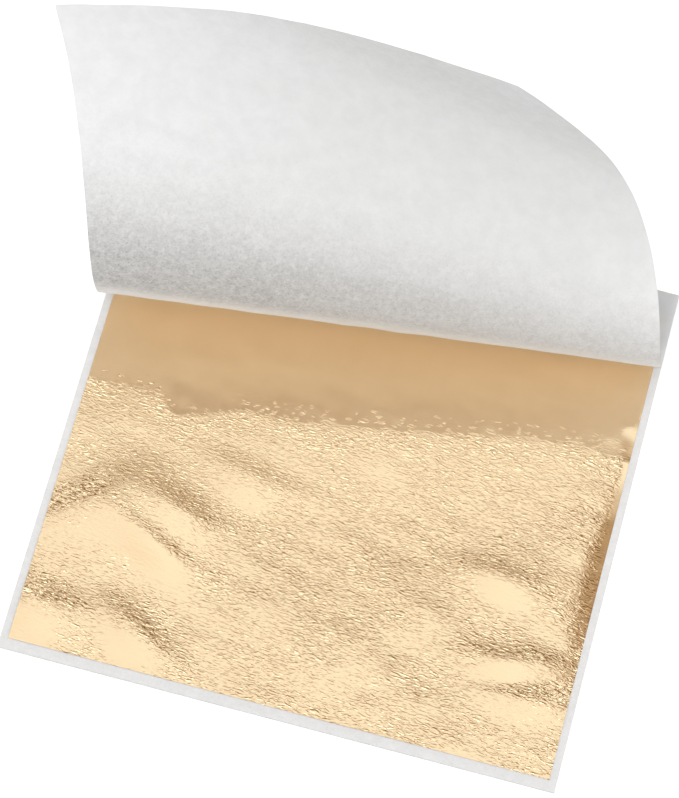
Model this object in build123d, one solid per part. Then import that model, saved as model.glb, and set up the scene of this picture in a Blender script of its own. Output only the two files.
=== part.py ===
"""Booklet of imitation gold leaf: ten loose leaves between eleven tissue pages, glued along the far edge.

Millimetres. X runs along the glued edge, Y points from the front to the glued edge, Z is up. The
origin is the middle of the back page's underside. The top page is one sheet of tissue that has been
peeled up from the front and curled back. It is cut into flat strips along the lines it bends about,
so each strip turns on the one before it and the page can be laid flat again.
"""
import os
from math import atan2, cos, degrees, radians, sin

from build123d import *

# Pages
page_width = 144.0
page_depth = 150.0
page_thickness = 0.05
page_count = 11

# Leaves of metal, cut smaller than the pages. The top leaf is crinkled and holds its page up a little
leaf_width = 140.0
leaf_depth = 140.0
leaf_thickness = 0.005
leaf_front_margin = 3.0
top_page_clearance = 0.5

# Glue along the far edge
glue_thickness = 0.2

# Curl of the top page: every line it bends about points to one spot, on the line of the glued edge
# and to the right of the page
fan_reach = 158.0
fan_start_angle = 5.4
curl_angle = 227.0
curl_taper_power = 2.1
strip_count = 10
strip_clearance = 0.05
fan_overshoot = 20.0

leaf_count = page_count - 1
layer_pitch = page_thickness + leaf_thickness
top_page_z = leaf_count * layer_pitch + top_page_clearance
stack_height = top_page_z + page_thickness
fan_x = page_width / 2 + fan_reach
fan_y = page_depth / 2
fan_end_angle = degrees(atan2(page_depth, fan_reach))
fan_near = fan_reach - fan_overshoot
fan_far = fan_reach + page_width + page_depth
strip_bend = curl_angle / strip_count


def fold_angle(number):
    """Direction of fold line `number`, in degrees from the glued edge towards the front.

    The bend gathers quickly at the first fold and fades to nothing at the free right corner, by
    bend = curl_angle * (1 - (1 - share) ** curl_taper_power). The lines are set so that each fold
    takes an equal part of the whole bend.
    """
    middle_of_step = (number - 1 / 2) / strip_count
    share = 1 - (1 - middle_of_step) ** (1 / curl_taper_power)
    return fan_start_angle + share * (fan_end_angle - fan_start_angle)


def fan_point(angle, reach, shift):
    """Point on a fold line at `reach` from the fan's centre, moved `shift` towards the front."""
    turn = radians(angle)
    return (fan_x - reach * cos(turn) - shift * sin(turn),
            fan_y - reach * sin(turn) + shift * cos(turn) * -1)


def fold_axis(number):
    """Fold line `number` on the flat page, from right to left, on the page's upper face."""
    angle = fold_angle(number)
    start = fan_point(angle, fan_near, 0)
    end = fan_point(angle, fan_far, 0)
    return Axis((start[0], start[1], stack_height), (end[0] - start[0], end[1] - start[1], 0))


def sheet(width, depth, thickness, front, bottom):
    """A flat sheet centred on X, with its front edge and underside at the given places."""
    outline = Pos(0, front + depth / 2, bottom) * Rectangle(width, depth)
    return extrude(outline, thickness, dir=(0, 0, 1))


def top_page_piece(first_angle, last_angle, first_shift, last_shift):
    """The part of the flat top page between two directions of the fan."""
    corners = [fan_point(first_angle, fan_near, first_shift), fan_point(first_angle, fan_far, first_shift),
               fan_point(last_angle, fan_far, -last_shift), fan_point(last_angle, fan_near, -last_shift)]
    wedge = make_face(Polyline(*corners, close=True))
    outline = wedge & Rectangle(page_width, page_depth)
    return extrude(Pos(0, 0, top_page_z) * outline, page_thickness, dir=(0, 0, 1))


def curled_strip(number):
    """Strip `number` of the top page, folded up at its own fold line and at each one before it."""
    last = number == strip_count
    last_angle = fan_end_angle + fan_start_angle if last else fold_angle(number + 1)
    strip = top_page_piece(fold_angle(number), last_angle, strip_clearance, 0 if last else strip_clearance)
    for fold in range(number, 0, -1):
        strip = strip.rotate(fold_axis(fold), strip_bend)
    return strip


def build():
    """All pieces of the booklet by name."""
    pieces = {}
    page_front = -page_depth / 2
    for level in range(leaf_count):
        pieces[f"page_{page_count - level:02d}"] = sheet(
            page_width, page_depth, page_thickness, page_front, level * layer_pitch)
        pieces[f"leaf_{leaf_count - level:02d}"] = sheet(
            leaf_width, leaf_depth, leaf_thickness, page_front + leaf_front_margin,
            level * layer_pitch + page_thickness)
    pieces["page_01_bound_edge"] = top_page_piece(-fan_start_angle, fold_angle(1), 0, strip_clearance)
    for number in range(1, strip_count + 1):
        pieces[f"page_01_strip_{number:02d}"] = curled_strip(number)
    pieces["glued_edge"] = sheet(page_width, glue_thickness, stack_height, page_depth / 2, 0)
    return pieces


os.makedirs("parts", exist_ok=True)
for name, piece in build().items():
    piece.label = name
    export_step(piece, f"parts/{name}.step")
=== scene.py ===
"""Booklet of imitation gold leaf with its top tissue page peeled up and curled back.

Sizes are given in millimetres and turned to metres when a mesh is made. X runs along the glued edge,
Y from the front to the glued edge, and Z is up, as in the CAD model.
"""
import logging
import math
from dataclasses import dataclass
from enum import Enum

import bpy
import numpy as np
from mathutils import Matrix, Vector


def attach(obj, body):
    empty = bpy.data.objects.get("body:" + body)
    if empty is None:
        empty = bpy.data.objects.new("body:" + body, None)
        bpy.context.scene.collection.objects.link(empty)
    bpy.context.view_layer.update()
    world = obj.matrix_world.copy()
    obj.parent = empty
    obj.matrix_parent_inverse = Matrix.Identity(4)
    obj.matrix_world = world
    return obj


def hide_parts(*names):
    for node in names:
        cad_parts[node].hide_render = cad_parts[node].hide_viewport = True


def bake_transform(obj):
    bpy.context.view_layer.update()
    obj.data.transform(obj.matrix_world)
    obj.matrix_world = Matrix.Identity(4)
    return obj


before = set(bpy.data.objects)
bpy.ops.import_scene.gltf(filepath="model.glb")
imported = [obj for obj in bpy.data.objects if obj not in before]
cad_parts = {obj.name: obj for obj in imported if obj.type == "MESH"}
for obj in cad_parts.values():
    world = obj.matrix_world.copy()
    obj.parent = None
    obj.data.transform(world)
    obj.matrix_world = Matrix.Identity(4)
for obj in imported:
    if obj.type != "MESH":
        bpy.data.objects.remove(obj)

MM = 0.001
WHITE = (1.0, 1.0, 1.0, 1.0)
log = logging.getLogger("gold_leaf_booklet")


class Body(Enum):
    """Bodies of the CAD model that the pieces ride on."""

    BOOKLET = "booklet"
    TOP_LEAF = "top_leaf"


class Slot(Enum):
    """Material slots of the record."""

    LEAF = "gold_leaf"
    TISSUE = "tissue"
    GLUE = "glue"


def linear_colour(hex_text: str, alpha: float = 1.0) -> tuple[float, float, float, float]:
    """Turn an sRGB hex colour to linear light.

    Args:
        hex_text: the colour as six hex digits after a hash.
        alpha: the fourth value.

    Returns:
        Red, green, blue and alpha, linear.
    """
    raw = [int(hex_text[i:i + 2], 16) / 255 for i in (1, 3, 5)]
    red, green, blue = (c / 12.92 if c <= 0.04045 else ((c + 0.055) / 1.055) ** 2.4 for c in raw)
    return red, green, blue, alpha


def per_size(size_mm: float) -> float:
    """Scale of a texture whose features are size_mm wide, for coordinates in metres."""
    return 1.0 / (size_mm * MM)


def add_node(tree: bpy.types.NodeTree, kind: str, links: dict | None = None, **settings) -> bpy.types.Node:
    """Add a shader node, with its settings and what feeds it.

    Args:
        tree: the node tree.
        kind: the node's type name.
        links: input name or number to an output socket or a plain value.
        settings: attributes of the node itself.

    Returns:
        The new node.
    """
    made = tree.nodes.new(kind)
    for name, value in settings.items():
        setattr(made, name, value)
    for key, value in (links or {}).items():
        socket = made.inputs[key]
        if isinstance(value, bpy.types.NodeSocket):
            tree.links.new(value, socket)
        else:
            socket.default_value = value
    return made


def new_material(name: str) -> tuple[bpy.types.Material, bpy.types.NodeTree, bpy.types.Node]:
    """Make an empty node material.

    Args:
        name: the material's name.

    Returns:
        The material, its tree and its output node.
    """
    material = bpy.data.materials.new(name)
    material.use_nodes = True
    tree = material.node_tree
    tree.nodes.clear()
    return material, tree, add_node(tree, "ShaderNodeOutputMaterial")


def random_waves(x: np.ndarray, y: np.ndarray, length: float, stretch: float, turn: float,
                 count: int, seed: int) -> np.ndarray:
    """Smooth random relief: the mean of many cosine waves of about one wavelength.

    Each wave runs across a direction that is drawn at random and then squeezed, so that the ridges
    are `stretch` times longer along `turn` than across it. The sum is scaled to a spread of 1.

    Args:
        x: first coordinate, millimetres.
        y: second coordinate, millimetres.
        length: wavelength across the ridges, millimetres.
        stretch: how much longer the ridges are along their own direction.
        turn: direction of the ridges from X, degrees.
        count: number of waves.
        seed: seed of the draw.

    Returns:
        The relief at each point, about -2.5 to 2.5.
    """
    draw = np.random.default_rng(seed)
    turned = math.radians(turn)
    along = x * math.cos(turned) + y * math.sin(turned)
    across = y * math.cos(turned) - x * math.sin(turned)
    angle = draw.uniform(0, 2 * math.pi, count)
    size = 2 * math.pi / length * draw.uniform(0.6, 1.4, count)
    phase = draw.uniform(0, 2 * math.pi, count)
    total = np.zeros(np.broadcast(x, y).shape)
    for a, k, p in zip(angle, size, phase):
        total += np.cos(k * (along * math.cos(a) / stretch + across * math.sin(a)) + p)
    return total * math.sqrt(2 / count)


def smooth_step(value: np.ndarray, low: float, high: float) -> np.ndarray:
    """Rise from 0 at low to 1 at high, by 3t^2 - 2t^3."""
    t = np.clip((value - low) / (high - low), 0, 1)
    return t * t * (3 - 2 * t)


def grid_normals(points: np.ndarray) -> np.ndarray:
    """Unit normals of a grid of points: the cross product of its two differences.

    Args:
        points: rows by columns by 3.

    Returns:
        Normals of the same shape, pointing up the cross of column step and row step.
    """
    row_step = np.gradient(points, axis=0)
    column_step = np.gradient(points, axis=1)
    normal = np.cross(column_step, row_step)
    return normal / np.maximum(np.linalg.norm(normal, axis=2, keepdims=True), 1e-12)


def sheet_mesh(name: str, upper: np.ndarray, normals: np.ndarray, thickness: float,
               flat: np.ndarray | None = None) -> bpy.types.Object:
    """Closed thin sheet from its upper face: the same grid moved down its normals, and a rim.

    Args:
        name: name of the object.
        upper: rows by columns by 3, millimetres; seen from above, rows run so that the cross of
            column step and row step points out.
        normals: unit normals at those points.
        thickness: sheet thickness, millimetres.
        flat: rows by columns by 2, the place of each point on the flat sheet, millimetres; it
            becomes the UV map, in metres.

    Returns:
        The object, linked to the scene.
    """
    rows, columns = upper.shape[:2]
    count = rows * columns
    points = np.concatenate([upper.reshape(-1, 3), (upper - normals * thickness).reshape(-1, 3)]) * MM
    index = np.arange(count).reshape(rows, columns)
    a, b, c, d = index[:-1, :-1], index[:-1, 1:], index[1:, 1:], index[1:, :-1]
    top = np.stack([a, b, c, d], axis=-1).reshape(-1, 4)
    under = top[:, ::-1] + count
    loop = np.concatenate([index[0, :-1], index[:-1, -1], index[-1, :0:-1], index[:0:-1, 0]])
    after = np.roll(loop, -1)
    rim = np.stack([after, loop, loop + count, after + count], axis=1)
    faces = np.concatenate([top, under, rim])
    mesh = bpy.data.meshes.new(name)
    mesh.vertices.add(len(points))
    mesh.vertices.foreach_set("co", points.astype(np.float32).ravel())
    mesh.loops.add(faces.size)
    mesh.loops.foreach_set("vertex_index", faces.astype(np.int32).ravel())
    mesh.polygons.add(len(faces))
    mesh.polygons.foreach_set("loop_start", np.arange(0, faces.size, 4, dtype=np.int32))
    mesh.polygons.foreach_set("use_smooth", np.ones(len(faces), dtype=bool))
    mesh.update(calc_edges=True)
    if flat is not None:
        place = np.concatenate([flat.reshape(-1, 2)] * 2) * MM
        layer = mesh.uv_layers.new(name="flat_sheet")
        layer.data.foreach_set("uv", place[faces.ravel()].astype(np.float32).ravel())
    both = np.concatenate([normals.reshape(-1, 3), -normals.reshape(-1, 3)])
    mesh.normals_split_custom_set_from_vertices(both.tolist())
    mesh.validate()
    made = bpy.data.objects.new(name, mesh)
    bpy.context.scene.collection.objects.link(made)
    return made


def add_value(piece: bpy.types.Object, name: str, upper: np.ndarray, under: np.ndarray) -> None:
    """Give a sheet a value at each point.

    Args:
        piece: a sheet made by sheet_mesh.
        name: name of the value.
        upper: rows by columns, the value on the upper face.
        under: the same for the lower face.
    """
    layer = piece.data.attributes.new(name, "FLOAT", "POINT")
    layer.data.foreach_set("value", np.concatenate([upper.ravel(), under.ravel()]).astype(np.float32))


@dataclass(frozen=True)
class InterleavingTissue:
    """White interleaving tissue, made on a paper machine from long fibres and left unglazed.

    The eye sees a matt, cloudy white sheet that lets light through. Its fibre felt and small dark
    flecks show most where the mesh's felt and shade value is high, and there the sheet is also darkened
    by a painted shade.
    """

    name: str = "unglazed_interleaving_tissue"
    colour: str = "#f6f7f8"
    cloud_colour: str = "#f2f3f4"
    roughness: float = 0.8
    see_through: float = 0.56
    cloud_mm: float = 4.5
    cloud_span: tuple[float, float] = (0.36, 0.64)
    felt_mm: float = 1.5
    fibre_mm: float = 0.55
    grain_span: tuple[float, float] = (0.7, 1.3)
    felt_depth: float = 0.12
    # painted shade: how far the felt and shade value darkens the whole sheet
    painted_shade_depth: float = 0.31
    fleck_span: tuple[float, float] = (0.36, 0.28)
    fleck_depth: float = 0.14
    least_felt_and_shade: float = 0.05
    relief_mm: float = 0.07

    def noise(self, tree: bpy.types.NodeTree, size: float, detail: float) -> bpy.types.NodeSocket:
        """Noise of one size over the sheet.

        Args:
            tree: the node tree.
            size: size of its clouds, millimetres.
            detail: octaves.

        Returns:
            The noise value.
        """
        place = add_node(tree, "ShaderNodeTexCoord").outputs["Object"]
        made = add_node(tree, "ShaderNodeTexNoise", {"Vector": place, "Scale": per_size(size),
                                                     "Detail": detail, "Roughness": 0.6, "Distortion": 0.3})
        return made.outputs["Fac"]

    def build(self) -> bpy.types.Material:
        """Make the material.

        Returns:
            The tissue material, on Object coordinates and the mesh's felt and painted shade value.
        """
        material, tree, out = new_material(self.name)
        given = add_node(tree, "ShaderNodeAttribute", attribute_name="felt_and_painted_shade").outputs["Fac"]
        felt_and_painted_shade = add_node(tree, "ShaderNodeMath", {0: given, 1: self.least_felt_and_shade}, operation="ADD").outputs[0]
        cloud, coarse, fibre = (self.noise(tree, size, detail) for size, detail in
                                ((self.cloud_mm, 4.0), (self.felt_mm, 2.0), (self.fibre_mm, 2.0)))
        low, high = self.cloud_span
        share = add_node(tree, "ShaderNodeMapRange", {"Value": cloud, "From Min": low, "From Max": high})
        sheet = add_node(tree, "ShaderNodeMix", {0: share.outputs[0], 6: linear_colour(self.colour),
                                                 7: linear_colour(self.cloud_colour)}, data_type="RGBA")
        grain = add_node(tree, "ShaderNodeMath", {0: coarse, 1: fibre}, operation="ADD")
        low, high = self.grain_span
        # besides swinging the grain, the felt and shade value lowers the level as a whole: painted shade
        swing = add_node(tree, "ShaderNodeMapRange", {"Value": grain.outputs[0], "From Min": low,
                                                      "From Max": high,
                                                      "To Min": -self.felt_depth - self.painted_shade_depth,
                                                      "To Max": self.felt_depth - self.painted_shade_depth})
        low, high = self.fleck_span
        fleck = add_node(tree, "ShaderNodeMapRange", {"Value": fibre, "From Min": low, "From Max": high,
                                                      "To Min": 0.0, "To Max": -self.fleck_depth})
        total = add_node(tree, "ShaderNodeMath", {0: swing.outputs[0], 1: fleck.outputs[0]}, operation="ADD")
        level = add_node(tree, "ShaderNodeMath", {0: total.outputs[0], 1: felt_and_painted_shade, 2: 1.0},
                         operation="MULTIPLY_ADD")
        colour = add_node(tree, "ShaderNodeVectorMath", {0: sheet.outputs[2], 3: level.outputs[0]},
                          operation="SCALE")
        bump = add_node(tree, "ShaderNodeBump", {"Height": grain.outputs[0], "Strength": felt_and_painted_shade,
                                                 "Distance": self.relief_mm * MM})
        face = add_node(tree, "ShaderNodeBsdfPrincipled", {"Base Color": colour.outputs[0],
                                                           "Roughness": self.roughness,
                                                           "Normal": bump.outputs[0]})
        through = add_node(tree, "ShaderNodeBsdfTranslucent", {"Color": colour.outputs[0],
                                                               "Normal": bump.outputs[0]})
        both = add_node(tree, "ShaderNodeMixShader", {0: self.see_through, 1: face.outputs[0],
                                                      2: through.outputs[0]})
        tree.links.new(both.outputs[0], out.inputs["Surface"])
        return material


@dataclass(frozen=True)
class BeatenBrassLeaf:
    """Imitation gold leaf: a copper and zinc alloy beaten to a foil, then crinkled by handling.

    The eye sees a bright warm metal with short fine wrinkles, strong where the mesh's "crinkle"
    value is high and nearly gone where the foil was stretched smooth.
    """

    colour: str = "#f2e9c8"
    roughness: float = 0.10
    scattered_colour: str = "#f3b066"
    scattered_roughness: float = 0.6
    scattered_share: float = 0.32
    wrinkle_mm: float = 0.8
    wrinkle_stretch: float = 2.8
    wrinkle_turn: float = 8.0
    wrinkle_relief_mm: float = 0.38
    crease_mm: float = 1.5
    crease_relief_mm: float = 0.10
    crease_detail: float = 1.0
    crease_roughness: float = 0.55
    crease_distortion: float = 0.5

    def wrinkles(self, tree: bpy.types.NodeTree, size: float) -> bpy.types.NodeSocket:
        """Sharp creases: how far noise, stretched along the wrinkles, is from its middle value.

        Args:
            tree: the node tree.
            size: distance between creases, millimetres.

        Returns:
            The height, zero along each crease.
        """
        place = add_node(tree, "ShaderNodeTexCoord").outputs["Object"]
        laid = add_node(tree, "ShaderNodeMapping", {"Vector": place,
                                                    "Rotation": (0.0, 0.0, math.radians(self.wrinkle_turn))})
        drawn = add_node(tree, "ShaderNodeMapping", {"Vector": laid.outputs[0],
                                                     "Scale": (1 / self.wrinkle_stretch, 1.0, 1.0)})
        noise = add_node(tree, "ShaderNodeTexNoise", {"Vector": drawn.outputs[0], "Scale": per_size(size),
                                                      "Detail": self.crease_detail,
                                                      "Roughness": self.crease_roughness,
                                                      "Distortion": self.crease_distortion})
        off = add_node(tree, "ShaderNodeMath", {0: noise.outputs["Fac"], 1: 0.5}, operation="SUBTRACT")
        return add_node(tree, "ShaderNodeMath", {0: off.outputs[0]}, operation="ABSOLUTE").outputs[0]

    def build(self) -> bpy.types.Material:
        """Make the material.

        Returns:
            The leaf material, on Object coordinates and the mesh's crinkle value.
        """
        material, tree, out = new_material("beaten_brass_leaf")
        crinkle = add_node(tree, "ShaderNodeAttribute", attribute_name="crinkle").outputs["Fac"]
        crease = add_node(tree, "ShaderNodeBump", {"Height": self.wrinkles(tree, self.crease_mm),
                                                   "Strength": crinkle,
                                                   "Distance": self.crease_relief_mm * MM})
        bump = add_node(tree, "ShaderNodeBump", {"Height": self.wrinkles(tree, self.wrinkle_mm),
                                                 "Strength": crinkle,
                                                 "Distance": self.wrinkle_relief_mm * MM,
                                                 "Normal": crease.outputs[0]})
        # light that meets the wrinkles more than once comes back wide and with a deeper colour
        lobes = ((self.colour, self.roughness), (self.scattered_colour, self.scattered_roughness))
        bright, matt = (add_node(tree, "ShaderNodeBsdfPrincipled", {"Base Color": linear_colour(tint),
                                                                    "Metallic": 1.0, "Roughness": rough,
                                                                    "Normal": bump.outputs[0]})
                        for tint, rough in lobes)
        both = add_node(tree, "ShaderNodeMixShader", {0: self.scattered_share, 1: bright.outputs[0],
                                                      2: matt.outputs[0]})
        tree.links.new(both.outputs[0], out.inputs["Surface"])
        return material


@dataclass(frozen=True)
class PaddingGlue:
    """Padding glue brushed along the edges of the pages and dried to a clear, slightly milky skin."""

    colour: str = "#e9e8e2"
    streak_colour: str = "#dcdad2"
    roughness: float = 0.38
    brush_mm: float = 1.2
    brush_stretch: tuple[float, float, float] = (0.15, 1.0, 1.0)
    relief_mm: float = 0.02
    relief_strength: float = 0.4

    def build(self) -> bpy.types.Material:
        """Make the material.

        Returns:
            The glue material, on Object coordinates.
        """
        material, tree, out = new_material("brushed_padding_glue")
        place = add_node(tree, "ShaderNodeTexCoord").outputs["Object"]
        strokes = add_node(tree, "ShaderNodeMapping", {"Vector": place, "Scale": self.brush_stretch})
        streak = add_node(tree, "ShaderNodeTexNoise", {"Vector": strokes.outputs[0],
                                                       "Scale": per_size(self.brush_mm), "Detail": 3.0})
        tint = add_node(tree, "ShaderNodeMix", {0: streak.outputs["Fac"], 6: linear_colour(self.colour),
                                                7: linear_colour(self.streak_colour)}, data_type="RGBA")
        bump = add_node(tree, "ShaderNodeBump", {"Height": streak.outputs["Fac"],
                                                 "Strength": self.relief_strength,
                                                 "Distance": self.relief_mm * MM})
        skin = add_node(tree, "ShaderNodeBsdfPrincipled", {"Base Color": tint.outputs[2],
                                                           "Roughness": self.roughness,
                                                           "Normal": bump.outputs[0]})
        tree.links.new(skin.outputs[0], out.inputs["Surface"])
        return material


@dataclass
class LiftedPage:
    """The top tissue page, flat by the glued edge and then curled up and back.

    Every line that the page bends about points to one spot on the line of the glued edge, so the
    curl is part of a cone whose tip is that spot.
    """

    width: float = 144.0
    depth: float = 150.0
    thickness: float = 0.05
    upper_face: float = 1.1
    fan_reach: float = 158.0
    start_angle: float = 5.4
    curl_angle: float = 227.0
    taper_power: float = 2.1
    folds: int = 10
    rows_per_fold: int = 16
    columns: int = 190
    last_share: float = 0.9995
    corner_search: int = 4001
    bend_band: float = 0.96
    # share of the felt grain and painted shade that the right side keeps
    right_felt_and_shade: float = 0.5
    cockle: float = 0.05
    cockle_length: float = 16.0
    cockle_waves: int = 24
    cockle_seed: int = 5
    bound_flat: float = 4.0
    bound_fade: float = 20.0
    # normal heights over which the felt grain and painted shade come in as the page stands up and go as it
    # turns over
    standing: tuple[float, float] = (-0.1, 0.85)
    turned_over: tuple[float, float] = (0.05, 0.4)

    @property
    def tip(self) -> np.ndarray:
        """The spot that every bending line points to."""
        return np.array([self.width / 2 + self.fan_reach, self.depth / 2, self.upper_face])

    @property
    def end_angle(self) -> float:
        """Direction of the free right corner from the tip, degrees."""
        return math.degrees(math.atan2(self.depth, self.fan_reach))

    def line_angle(self, share: float) -> float:
        """Direction of the line before which `share` of the whole bend has gathered, degrees.

        The bend gathers as 1 - (1 - x)^power of the way x from the first line to the corner.
        """
        way = 1 - (1 - share) ** (1 / self.taper_power)
        return self.start_angle + way * (self.end_angle - self.start_angle)

    @staticmethod
    def flat_direction(angle: float | np.ndarray) -> np.ndarray:
        """Unit direction from the tip, `angle` degrees from the glued edge towards the front."""
        turn = np.radians(angle)
        return np.stack([-np.cos(turn), -np.sin(turn), np.zeros_like(turn)], axis=-1)

    def folded(self) -> list[np.ndarray]:
        """Turn of each flat strip of the CAD model: the product of the turns at its fold lines."""
        turns = [np.eye(3)]
        step = math.radians(self.curl_angle / self.folds)
        for fold in range(1, self.folds + 1):
            axis = self.flat_direction(self.line_angle((fold - 0.5) / self.folds))
            turns.append(turns[-1] @ np.array(Matrix.Rotation(step, 3, Vector(axis))))
        return turns

    def directions(self, fold: int, way: np.ndarray, turns: list[np.ndarray]) -> np.ndarray:
        """Directions from the tip across one fold.

        They follow a quadratic curve from the middle line of one strip to the middle line of the
        next, with the fold line between them as its control, so the page touches both strips.

        Args:
            fold: number of the fold line, from 1.
            way: how far along the curve, 0 to 1.
            turns: turns of the strips.

        Returns:
            One direction for each value of way.
        """
        start = turns[fold - 1] @ self.flat_direction(self.line_angle((fold - 1) / self.folds))
        crest = turns[fold] @ self.flat_direction(self.line_angle((fold - 0.5) / self.folds))
        end = turns[fold] @ self.flat_direction(self.line_angle(fold / self.folds))
        t = way[:, None]
        return (1 - t) ** 2 * start + 2 * t * (1 - t) * crest + t ** 2 * end

    def flat_angles(self, fold: int, way: np.ndarray) -> np.ndarray:
        """Flat directions of the same points: the same quadratic curve laid out flat, degrees."""
        low, middle, high = (self.line_angle((fold + s) / self.folds) for s in (-1, -0.5, 0))
        return (1 - way) ** 2 * low + 2 * way * (1 - way) * middle + way ** 2 * high

    def reach(self, angles: np.ndarray) -> tuple[np.ndarray, np.ndarray]:
        """Distances from the tip at which a line enters and leaves the page.

        Args:
            angles: flat directions, degrees.

        Returns:
            Distance to the right edge, and to the left or the front edge, whichever comes first.
        """
        turn = np.radians(angles)
        near = self.fan_reach / np.cos(turn)
        side = (self.fan_reach + self.width) / np.cos(turn)
        front = self.depth / np.maximum(np.sin(turn), 1e-9)
        return near, np.minimum(side, front)

    def row_ways(self) -> list[np.ndarray]:
        """How far along its curve each row lies: the bound part first, then one run for each fold."""
        corner = math.degrees(math.atan2(self.depth, self.fan_reach + self.width))
        runs = [np.linspace(0, 1, self.rows_per_fold)]
        for fold in range(1, self.folds + 1):
            run = np.linspace(0, self.last_share if fold == self.folds else 1, self.rows_per_fold)
            fine = np.linspace(0, 1, self.corner_search)
            angles = self.flat_angles(fold, fine)
            if angles[0] < corner < angles[-1]:
                met = fine[np.argmin(np.abs(angles - corner))]
                run[1 + np.argmin(np.abs(run[1:-1] - met))] = met
            runs.append(run)
        return runs

    def build(self, finish: bpy.types.Material) -> list[bpy.types.Object]:
        """Make the page as pieces that each bend about one fold of the CAD model.

        Args:
            finish: the tissue material.

        Returns:
            The pieces, the bound part first.
        """
        turns = self.folded()
        runs = self.row_ways()
        bound = runs[0] * self.start_angle
        folds = range(1, self.folds + 1)
        angles = np.concatenate([bound] + [self.flat_angles(f, runs[f]) for f in folds])
        directions = [self.flat_direction(bound)] + [self.directions(f, runs[f], turns) for f in folds]
        near, far = self.reach(angles)
        share = np.linspace(0, 1, self.columns)
        radius = near[:, None] + share * (far - near)[:, None]
        smooth = self.tip + radius[..., None] * np.concatenate(directions)[:, None, :]
        flat = self.tip[:2] + radius[..., None] * self.flat_direction(angles)[:, None, :2]
        relief = self.cockle * random_waves(flat[..., 0], flat[..., 1], self.cockle_length, 1.0, 0.0,
                                            self.cockle_waves, self.cockle_seed)
        edge = -self.depth / 2
        relief = relief * smooth_step(-flat[..., 1], edge + self.bound_flat, edge + self.bound_fade)
        # rows repeat where two runs meet, so the normals are taken on the rows without the repeats
        keep = np.concatenate([[True], np.diff(angles) > 1e-9])
        place = np.cumsum(keep) - 1
        up = grid_normals(smooth[keep])[place]
        points = smooth + up * relief[..., None]
        up = grid_normals(points[keep])[place]
        # fibre felt and painted shade on the lower face, strongest where the page stands up and on the left;
        # the upper face gets none
        left = smooth_step(-flat[..., 0], -self.width / 2, self.width / 2)
        over = smooth_step(up[..., 2], *self.turned_over)
        facing = smooth_step(1 + up[..., 2], *self.standing) * (1 - over)
        felt_and_painted_shade = (self.right_felt_and_shade + (1 - self.right_felt_and_shade) * left) * facing
        pieces = []
        start = 0
        for number, run in enumerate(runs):
            rows = slice(start, start + len(run))
            start += len(run)
            name = "page_01_bound_part" if number == 0 else f"page_01_curl_{number:02d}"
            piece = sheet_mesh(name, points[rows], up[rows], self.thickness, flat[rows])
            piece.data.materials.append(finish)
            add_value(piece, "felt_and_painted_shade", np.zeros_like(felt_and_painted_shade[rows]), felt_and_painted_shade[rows])
            if number == 0:
                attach(piece, Body.BOOKLET.value)
                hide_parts("page_01_bound_edge")
            else:
                self.bend(piece, number, turns)
                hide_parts(f"page_01_strip_{number:02d}")
            pieces.append(piece)
        return pieces

    def bend(self, piece: bpy.types.Object, fold: int, turns: list[np.ndarray]) -> None:
        """Work out the widest band about the fold line that stays inside the piece along its whole length,
        then bake the piece's place into its mesh.

        The band is not used further; the piece keeps the shape it was built with.

        Args:
            piece: the piece.
            fold: number of the fold line.
            turns: turns of the strips.
        """
        low, high = self.line_angle((fold - 1) / self.folds), self.line_angle(fold / self.folds)
        middle = self.line_angle((fold - 0.5) / self.folds)
        near, far = self.reach(np.array([middle]))
        half = self.bend_band * near[0] * math.radians(min(middle - low, high - middle))
        across = turns[fold] @ self.flat_direction(high) - turns[fold - 1] @ self.flat_direction(low)
        line = turns[fold] @ self.flat_direction(middle)
        across = across - line * (across @ line)
        quarter_turn = math.radians(self.curl_angle / self.folds / 4)
        across = across / np.linalg.norm(across) * half * math.cos(quarter_turn)
        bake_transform(piece)


@dataclass(frozen=True)
class Dent:
    """One soft fold of the leaf, steeper at the back than in front, in millimetres and degrees."""

    x: float
    y: float
    length: float
    width: float
    turn: float
    rise: float
    gentle: float = 2.0

    def height(self, x: np.ndarray, y: np.ndarray) -> np.ndarray:
        """Height at each place: rise times e to minus half the squared distances along and across.

        Distances in front of the crest count as `gentle` times smaller.
        """
        turned = math.radians(self.turn)
        along = (x - self.x) * math.cos(turned) + (y - self.y) * math.sin(turned)
        across = (y - self.y) * math.cos(turned) - (x - self.x) * math.sin(turned)
        across = np.where(across < 0, across / self.gentle, across)
        return self.rise * np.exp(-0.5 * ((along / self.length) ** 2 + (across / self.width) ** 2))


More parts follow.
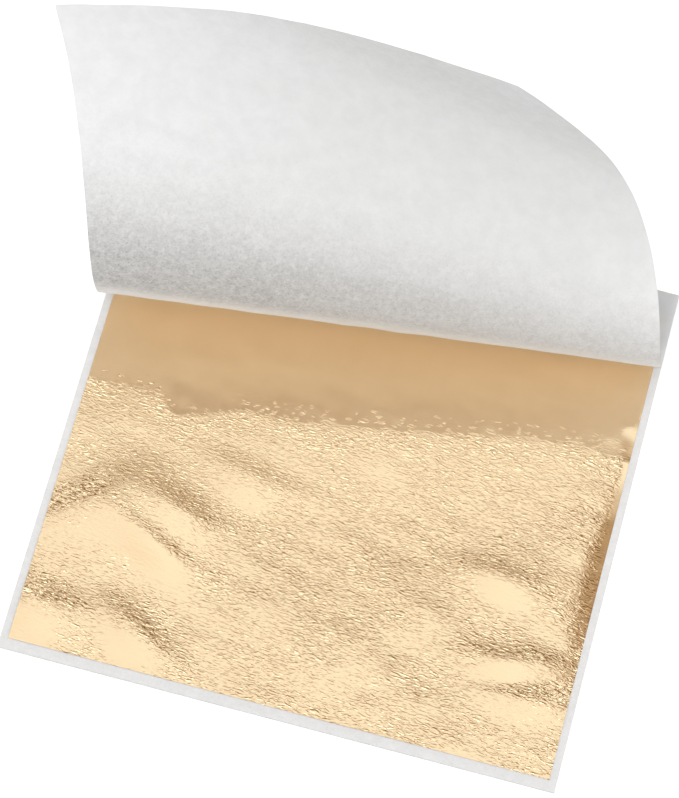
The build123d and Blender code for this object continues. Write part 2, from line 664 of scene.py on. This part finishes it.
@dataclass
class TopLeaf:
    """The exposed sheet of leaf, dented and crinkled, lying loose on its tissue page.

    The dents are drawn at their full depth and the foil lies pressed to a part of it, low enough for
    the page to close over. Its shading normals keep the full slopes. The fall behind the bend line
    and the rise near the lifted page are in the shading normals alone, and not in the mesh.
    """

    width: float = 140.0
    depth: float = 140.0
    front: float = -72.0
    base: float = 0.545
    thickness: float = 0.005
    lift: float = 0.02
    top: float = 0.44
    steps: int = 214
    bend_line: tuple[tuple[float, float, float, float], ...] = (
        (-70.0, 6.0, 0.09, 18.0), (-52.0, 7.5, 0.09, 18.0), (-46.0, 1.0, 0.10, 20.0),
        (-40.0, 3.0, 0.09, 18.0), (-30.0, 7.5, 0.08, 16.0), (-10.0, 9.5, 0.08, 16.0),
        (10.0, 13.5, 0.08, 16.0), (30.0, 18.0, 0.10, 18.0), (50.0, 22.5, 0.12, 18.0),
        (62.0, 22.8, 0.125, 20.0), (70.0, 22.5, 0.13, 22.0))
    bend_waver: float = 0.3
    bend_waver_length: float = 7.0
    lift_left: float = 31.6
    lift_right: float = 53.0
    lift_length: float = 13.0
    lift_slope: float = 0.2
    swell: float = 0.08
    swell_length: float = 40.0
    dent: float = 0.03
    dent_length: float = 11.0
    patch: float = 0.15
    patch_length: float = 16.0
    flat_crinkle: float = 0.75
    crinkle_per_slope: float = 4.0
    crinkle_range: tuple[float, float] = (0.15, 1.5)
    least_crinkle: float = 0.05
    line_crinkle: float = 0.5
    line_crinkle_behind: float = 2.0
    line_crinkle_width: float = 3.0
    line_fade: float = 1.6
    spot: float = 2.4
    spot_length: float = 1.8
    spot_least: float = 0.9
    spot_reach: float = 8.0
    smooth_edge: tuple[float, float] = (67.8, 69.4)
    smooth_edge_back: tuple[float, float] = (-25.0, -5.0)
    dents: tuple[Dent, ...] = (
        Dent(-59.3, -27.5, 11.0, 3.6, 42.0, 1.5),
        Dent(-41.0, -23.4, 10.0, 3.6, -20.0, 1.7),
        Dent(-42.7, -35.0, 9.0, 2.6, -28.0, 1.05),
        Dent(-57.0, -45.0, 9.0, 9.0, 0.0, 0.4),
        Dent(-65.0, -59.6, 8.0, 3.4, -5.0, 1.5),
        Dent(-40.2, -60.3, 8.0, 2.6, -30.0, 1.15),
        Dent(-23.0, -10.0, 7.0, 3.0, -12.0, 0.8),
        Dent(45.5, -18.8, 7.0, 2.2, -2.0, 0.95),
        Dent(53.0, -41.8, 8.0, 2.3, 8.0, 1.0),
        Dent(60.5, -51.2, 8.0, 1.9, 8.0, 0.9),
        Dent(74.0, -12.0, 20.0, 4.5, 90.5, -2.3),
        Dent(8.0, -52.0, 20.0, 7.0, -25.0, 0.6),
        Dent(20.0, -30.0, 16.0, 4.0, -28.0, 0.35),
    )

    def relief(self, x: np.ndarray, y: np.ndarray) -> np.ndarray:
        """Broad relief at full depth: named dents and soft swells.

        Args:
            x: places along X, millimetres.
            y: places along Y, millimetres.

        Returns:
            Height at each place, millimetres.
        """
        total = sum(d.height(x, y) for d in self.dents)
        return total + self.swell * random_waves(x, y, self.swell_length, 1.4, 20.0, 30, 11)

    def bend_places(self, x: np.ndarray, y: np.ndarray) -> tuple[np.ndarray, np.ndarray, np.ndarray]:
        """Where the bend line runs, with the slope and length of the fall behind it, at each place."""
        places, lines, slopes, lengths = np.array(self.bend_line).T
        line, slope, length = (np.interp(x, places, v) for v in (lines, slopes, lengths))
        waver = self.bend_waver * random_waves(x, y, self.bend_waver_length, 1.0, 0.0, 24, 31)
        return line + waver, slope, length

    def fall(self, x: np.ndarray, y: np.ndarray) -> np.ndarray:
        """How far the foil would fall behind its bend line, for the shading normals alone.

        The fall starts with its full slope at the line and flattens to nothing over a length: slope
        times length times (u - u^2 / 2), u being the share of that length. Close to the lifted page
        the foil rises with it, as slope times length times v^2 / 2, and flattens again behind it.

        Args:
            x: places along X, millimetres.
            y: places along Y, millimetres.

        Returns:
            Height at each place, zero in front of the line.
        """
        line, slope, length = self.bend_places(x, y)
        share = np.clip((y - line) / length, 0, 1)
        page = self.lift_left + (self.lift_right - self.lift_left) * (x / self.width + 0.5)
        start = page - self.lift_length
        near = np.clip((y - start) / self.lift_length, 0, 2)
        curve = np.where(near < 1, near ** 2 / 2, 1 - (2 - near) ** 2 / 2)
        rise = self.lift_slope * self.lift_length * curve
        return rise - slope * length * (share - share ** 2 / 2)

    def crinkle(self, x: np.ndarray, y: np.ndarray, broad: np.ndarray) -> np.ndarray:
        """How crinkled the foil is: more on slopes that fall to the back and along the bend line.

        Behind the line it is smooth but for small spots, and so is a strip along the right edge.

        Args:
            x: places along X, millimetres.
            y: places along Y, millimetres.
            broad: broad relief at the same places.

        Returns:
            Share of the full wrinkle depth at each place.
        """
        slope = np.gradient(broad, axis=0) / np.gradient(y, axis=0)
        patch = self.patch * random_waves(x, y, self.patch_length, 1.5, -20.0, 24, 21)
        share = np.clip(self.flat_crinkle - self.crinkle_per_slope * slope + patch, *self.crinkle_range)
        past = y - self.bend_places(x, y)[0]
        off_line = (past + self.line_crinkle_behind) / self.line_crinkle_width
        share = share + self.line_crinkle * np.exp(-0.5 * off_line ** 2)
        spots = random_waves(x, y, self.spot_length, 1.5, 8.0, 60, 33)
        spots = self.spot * np.clip(spots - self.spot_least, 0, 1) * smooth_step(-past, -self.spot_reach, 0)
        behind = smooth_step(past, 0, self.line_fade)
        share = share * (1 - behind) + spots * behind
        edge = smooth_step(x, *self.smooth_edge) * smooth_step(y, *self.smooth_edge_back)
        return self.least_crinkle + share * (1 - edge)

    def build(self, finish: bpy.types.Material) -> bpy.types.Object:
        """Make the leaf.

        Args:
            finish: the leaf material.

        Returns:
            The leaf.
        """
        x = np.linspace(-self.width / 2, self.width / 2, self.steps)
        y = np.linspace(self.front, self.front + self.depth, self.steps)
        y, x = np.meshgrid(y, x, indexing="ij")
        broad = self.relief(x, y)
        height = broad + self.dent * random_waves(x, y, self.dent_length, 1.7, -12.0, 40, 12)
        full = height.max() - height.min()
        log.info("leaf relief %.2f mm at full depth", full)
        pressed = (self.top - self.lift) * (height - height.min()) / full + self.lift
        points = np.stack([x, y, self.base + pressed], axis=-1)
        up = grid_normals(np.stack([x, y, height + self.fall(x, y)], axis=-1))
        leaf = sheet_mesh("leaf_01_crinkled", points, up, self.thickness)
        share = self.crinkle(x, y, broad)
        add_value(leaf, "crinkle", share, share)
        leaf.data.materials.append(finish)
        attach(leaf, Body.TOP_LEAF.value)
        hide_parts("leaf_01")
        return leaf


@dataclass
class Studio:
    """Plain pale floor, one soft lamp, an uneven room and a camera at the photograph's angle.

    The room's brightness goes by two directions: the angle over the far horizon, in degrees, and
    the share of the direction that points to the right. Only the camera sees it white. The metal
    mirrors the levels below, which were set so that the foil's light and dark parts lie as
    photographed. In an even white room the foil shows far less contrast.
    """

    floor_size: float = 6000.0
    floor_below: float = 0.2
    floor_colour: str = "#e6e6e6"
    shown_floor_colour: str = "#c4c4c4"
    shown_floor_glow: float = 0.62
    lamp_azimuth: float = 5.0
    lamp_elevation: float = 56.0
    lamp_distance: float = 1500.0
    lamp_size: float = 1200.0
    lamp_power: float = 10.5
    elevation: float = 59.80
    azimuth: float = 3.95
    roll: float = 11.22
    distance: float = 1576.5
    target_x: float = -6.31
    target_y: float = 18.88
    target_z: float = 1.1
    focal_pixels: float = 6124.6
    image_height: float = 798.0
    sensor: float = 36.0
    clip_end: float = 20000.0
    room_turned: tuple[tuple[float, float], ...] = ((0, 3.0), (12, 2.4), (19, 0.7), (25, 0.1), (42, 0.12),
                                                    (52, 0.92), (57, 1.2), (75, 1.25), (90, 1.0),
                                                    (110, 1.2), (130, 1.2), (150, 0.8), (180, 0.6))
    room_across: tuple[tuple[float, float], ...] = ((-1.0, 0.5), (-0.45, 0.85), (0.15, 1.07),
                                                    (0.38, 0.3), (0.5, 0.3), (0.7, 1.1), (1.0, 1.2))
    dim_tint: str = "#ffe8c6"

    def add_camera(self) -> None:
        """Place the camera by its angles about the target and its roll."""
        e, a, r = (math.radians(v) for v in (self.elevation, self.azimuth, self.roll))
        back = Vector((math.sin(a) * math.cos(e), -math.cos(a) * math.cos(e), math.sin(e)))
        right = Vector((math.cos(a), math.sin(a), 0.0))
        up = back.cross(right)
        across = right * math.cos(r) + up * math.sin(r)
        over = up * math.cos(r) - right * math.sin(r)
        data = bpy.data.cameras.new("camera")
        data.sensor_width = self.sensor
        data.lens = self.focal_pixels * self.sensor / self.image_height
        data.clip_end = self.clip_end * MM
        camera = bpy.data.objects.new("camera", data)
        bpy.context.scene.collection.objects.link(camera)
        place = (Vector((self.target_x, self.target_y, self.target_z)) + back * self.distance) * MM
        turn = Matrix((across, over, back)).transposed().to_4x4()
        camera.matrix_world = Matrix.Translation(place) @ turn
        bpy.context.scene.camera = camera

    def add_floor(self) -> None:
        """Add a pale floor that keeps the object's shadow and looks white to camera and metal."""
        material, tree, out = new_material("pale_studio_floor")
        path = add_node(tree, "ShaderNodeLightPath")
        seen = add_node(tree, "ShaderNodeMath", {0: path.outputs["Is Camera Ray"],
                                                 1: path.outputs["Is Glossy Ray"]}, operation="MAXIMUM")
        seen = add_node(tree, "ShaderNodeMath", {0: seen.outputs[0],
                                                 1: path.outputs["Is Transmission Ray"]}, operation="MAXIMUM")
        cover = add_node(tree, "ShaderNodeBsdfDiffuse", {"Color": linear_colour(self.floor_colour)})
        glow = add_node(tree, "ShaderNodeEmission", {"Color": WHITE,
                                                       "Strength": self.shown_floor_glow})
        dim = add_node(tree, "ShaderNodeBsdfDiffuse", {"Color": linear_colour(self.shown_floor_colour)})
        shown = add_node(tree, "ShaderNodeAddShader", {0: dim.outputs[0], 1: glow.outputs[0]})
        both = add_node(tree, "ShaderNodeMixShader", {0: seen.outputs[0], 1: cover.outputs[0],
                                                      2: shown.outputs[0]})
        tree.links.new(both.outputs[0], out.inputs["Surface"])
        half = self.floor_size * MM / 2
        mesh = bpy.data.meshes.new("floor")
        mesh.from_pydata([(-half, -half, 0), (half, -half, 0), (half, half, 0), (-half, half, 0)], [],
                         [(0, 1, 2, 3)])
        floor = bpy.data.objects.new("floor", mesh)
        bpy.context.scene.collection.objects.link(floor)
        floor.location.z = -self.floor_below * MM
        mesh.materials.append(material)

    def add_lamp(self) -> None:
        """Hang the square soft lamp that faces the booklet, by its angles and distance."""
        a, e = math.radians(self.lamp_azimuth), math.radians(self.lamp_elevation)
        away = Vector((math.sin(a) * math.cos(e), -math.cos(a) * math.cos(e), math.sin(e)))
        data = bpy.data.lights.new("overhead_soft_lamp", "AREA")
        data.shape = "SQUARE"
        data.size = self.lamp_size * MM
        data.energy = self.lamp_power
        lamp = bpy.data.objects.new("overhead_soft_lamp", data)
        bpy.context.scene.collection.objects.link(lamp)
        turn = away.to_track_quat("Z", "Y").to_matrix().to_4x4()
        lamp.matrix_world = Matrix.Translation(away * self.lamp_distance * MM) @ turn

    @staticmethod
    def add_ramp(tree: bpy.types.NodeTree, value: bpy.types.NodeSocket,
                 levels: tuple[tuple[float, float], ...]) -> bpy.types.NodeSocket:
        """Brightness that runs in straight steps between named levels.

        Args:
            tree: the node tree.
            value: what the level depends on.
            levels: value and brightness at each step, values rising.

        Returns:
            The brightness.
        """
        low, high = levels[0][0], levels[-1][0]
        peak = max(level for _, level in levels)
        share = add_node(tree, "ShaderNodeMapRange", {"Value": value, "From Min": low, "From Max": high})
        ramp = add_node(tree, "ShaderNodeValToRGB", {"Fac": share.outputs[0]})
        stops = ramp.color_ramp.elements
        while len(stops) < len(levels):
            stops.new(0.5)
        for stop, (place, level) in zip(stops, levels):
            stop.position = (place - low) / (high - low)
            stop.color = (level / peak, level / peak, level / peak, 1.0)
        full = add_node(tree, "ShaderNodeMath", {0: ramp.outputs["Color"], 1: peak}, operation="MULTIPLY")
        return full.outputs[0]

    def add_world(self) -> None:
        """Add the uneven room: white to the camera alone, and by direction to all other rays."""
        world = bpy.data.worlds.new("pale_room")
        world.use_nodes = True
        tree = world.node_tree
        tree.nodes.clear()
        out = add_node(tree, "ShaderNodeOutputWorld")
        place = add_node(tree, "ShaderNodeTexCoord").outputs["Generated"]
        way = add_node(tree, "ShaderNodeSeparateXYZ", {0: place})
        turn = add_node(tree, "ShaderNodeMath", {0: way.outputs["Z"], 1: way.outputs["Y"]},
                        operation="ARCTAN2")
        turn = add_node(tree, "ShaderNodeMath", {0: turn.outputs[0]}, operation="DEGREES")
        turned = self.add_ramp(tree, turn.outputs[0], self.room_turned)
        across = self.add_ramp(tree, way.outputs["X"], self.room_across)
        level = add_node(tree, "ShaderNodeMath", {0: turned, 1: across}, operation="MULTIPLY")
        path = add_node(tree, "ShaderNodeLightPath")
        shown = add_node(tree, "ShaderNodeMix", {0: path.outputs["Is Camera Ray"], 2: level.outputs[0],
                                                 3: 1.0}, data_type="FLOAT")
        # the dim parts of the room are tinted warm, which turns the foil's dark patches golden
        tint = add_node(tree, "ShaderNodeMix", {0: shown.outputs[0], 6: linear_colour(self.dim_tint),
                                                7: WHITE}, data_type="RGBA")
        air = add_node(tree, "ShaderNodeBackground", {"Color": tint.outputs[2],
                                                      "Strength": shown.outputs[0]})
        tree.links.new(air.outputs[0], out.inputs["Surface"])
        bpy.context.scene.world = world

    def build(self) -> None:
        """Set up floor, lamp, surroundings and camera."""
        self.add_floor()
        self.add_lamp()
        self.add_world()
        self.add_camera()


def dress_cad_nodes(tissue: bpy.types.Material, leaf: bpy.types.Material, glue: bpy.types.Material) -> None:
    """Give the pages, leaves and glue that keep their CAD shape their finish.

    Args:
        tissue: material of the stacked pages.
        leaf: material of the leaves.
        glue: material of the glued edge.
    """
    for name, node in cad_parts.items():
        finish = leaf if name.startswith("leaf") else glue if name.startswith("glued") else tissue
        node.data.materials.clear()
        node.data.materials.append(finish)


def main() -> None:
    """Build every piece in order and report it."""
    logging.basicConfig(level=logging.INFO, format="%(message)s")
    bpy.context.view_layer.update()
    single = InterleavingTissue().build()
    # lying on each other the pages let hardly any light through
    # their felt grain and painted shade lie evenly over them, at a floor of 0.3
    stacked = InterleavingTissue(name="stacked_interleaving_tissue", see_through=0.15,
                                 least_felt_and_shade=0.3).build()
    leaf = BeatenBrassLeaf().build()
    glue = PaddingGlue().build()
    dress_cad_nodes(stacked, leaf, glue)
    for piece in LiftedPage().build(single):
        log.info("%s: %d faces", piece.name, len(piece.data.polygons))
    sheet = TopLeaf().build(leaf)
    log.info("%s: %d faces", sheet.name, len(sheet.data.polygons))
    Studio().build()
    bpy.context.scene.view_settings.view_transform = "Standard"


if __name__ == "__main__":
    main()
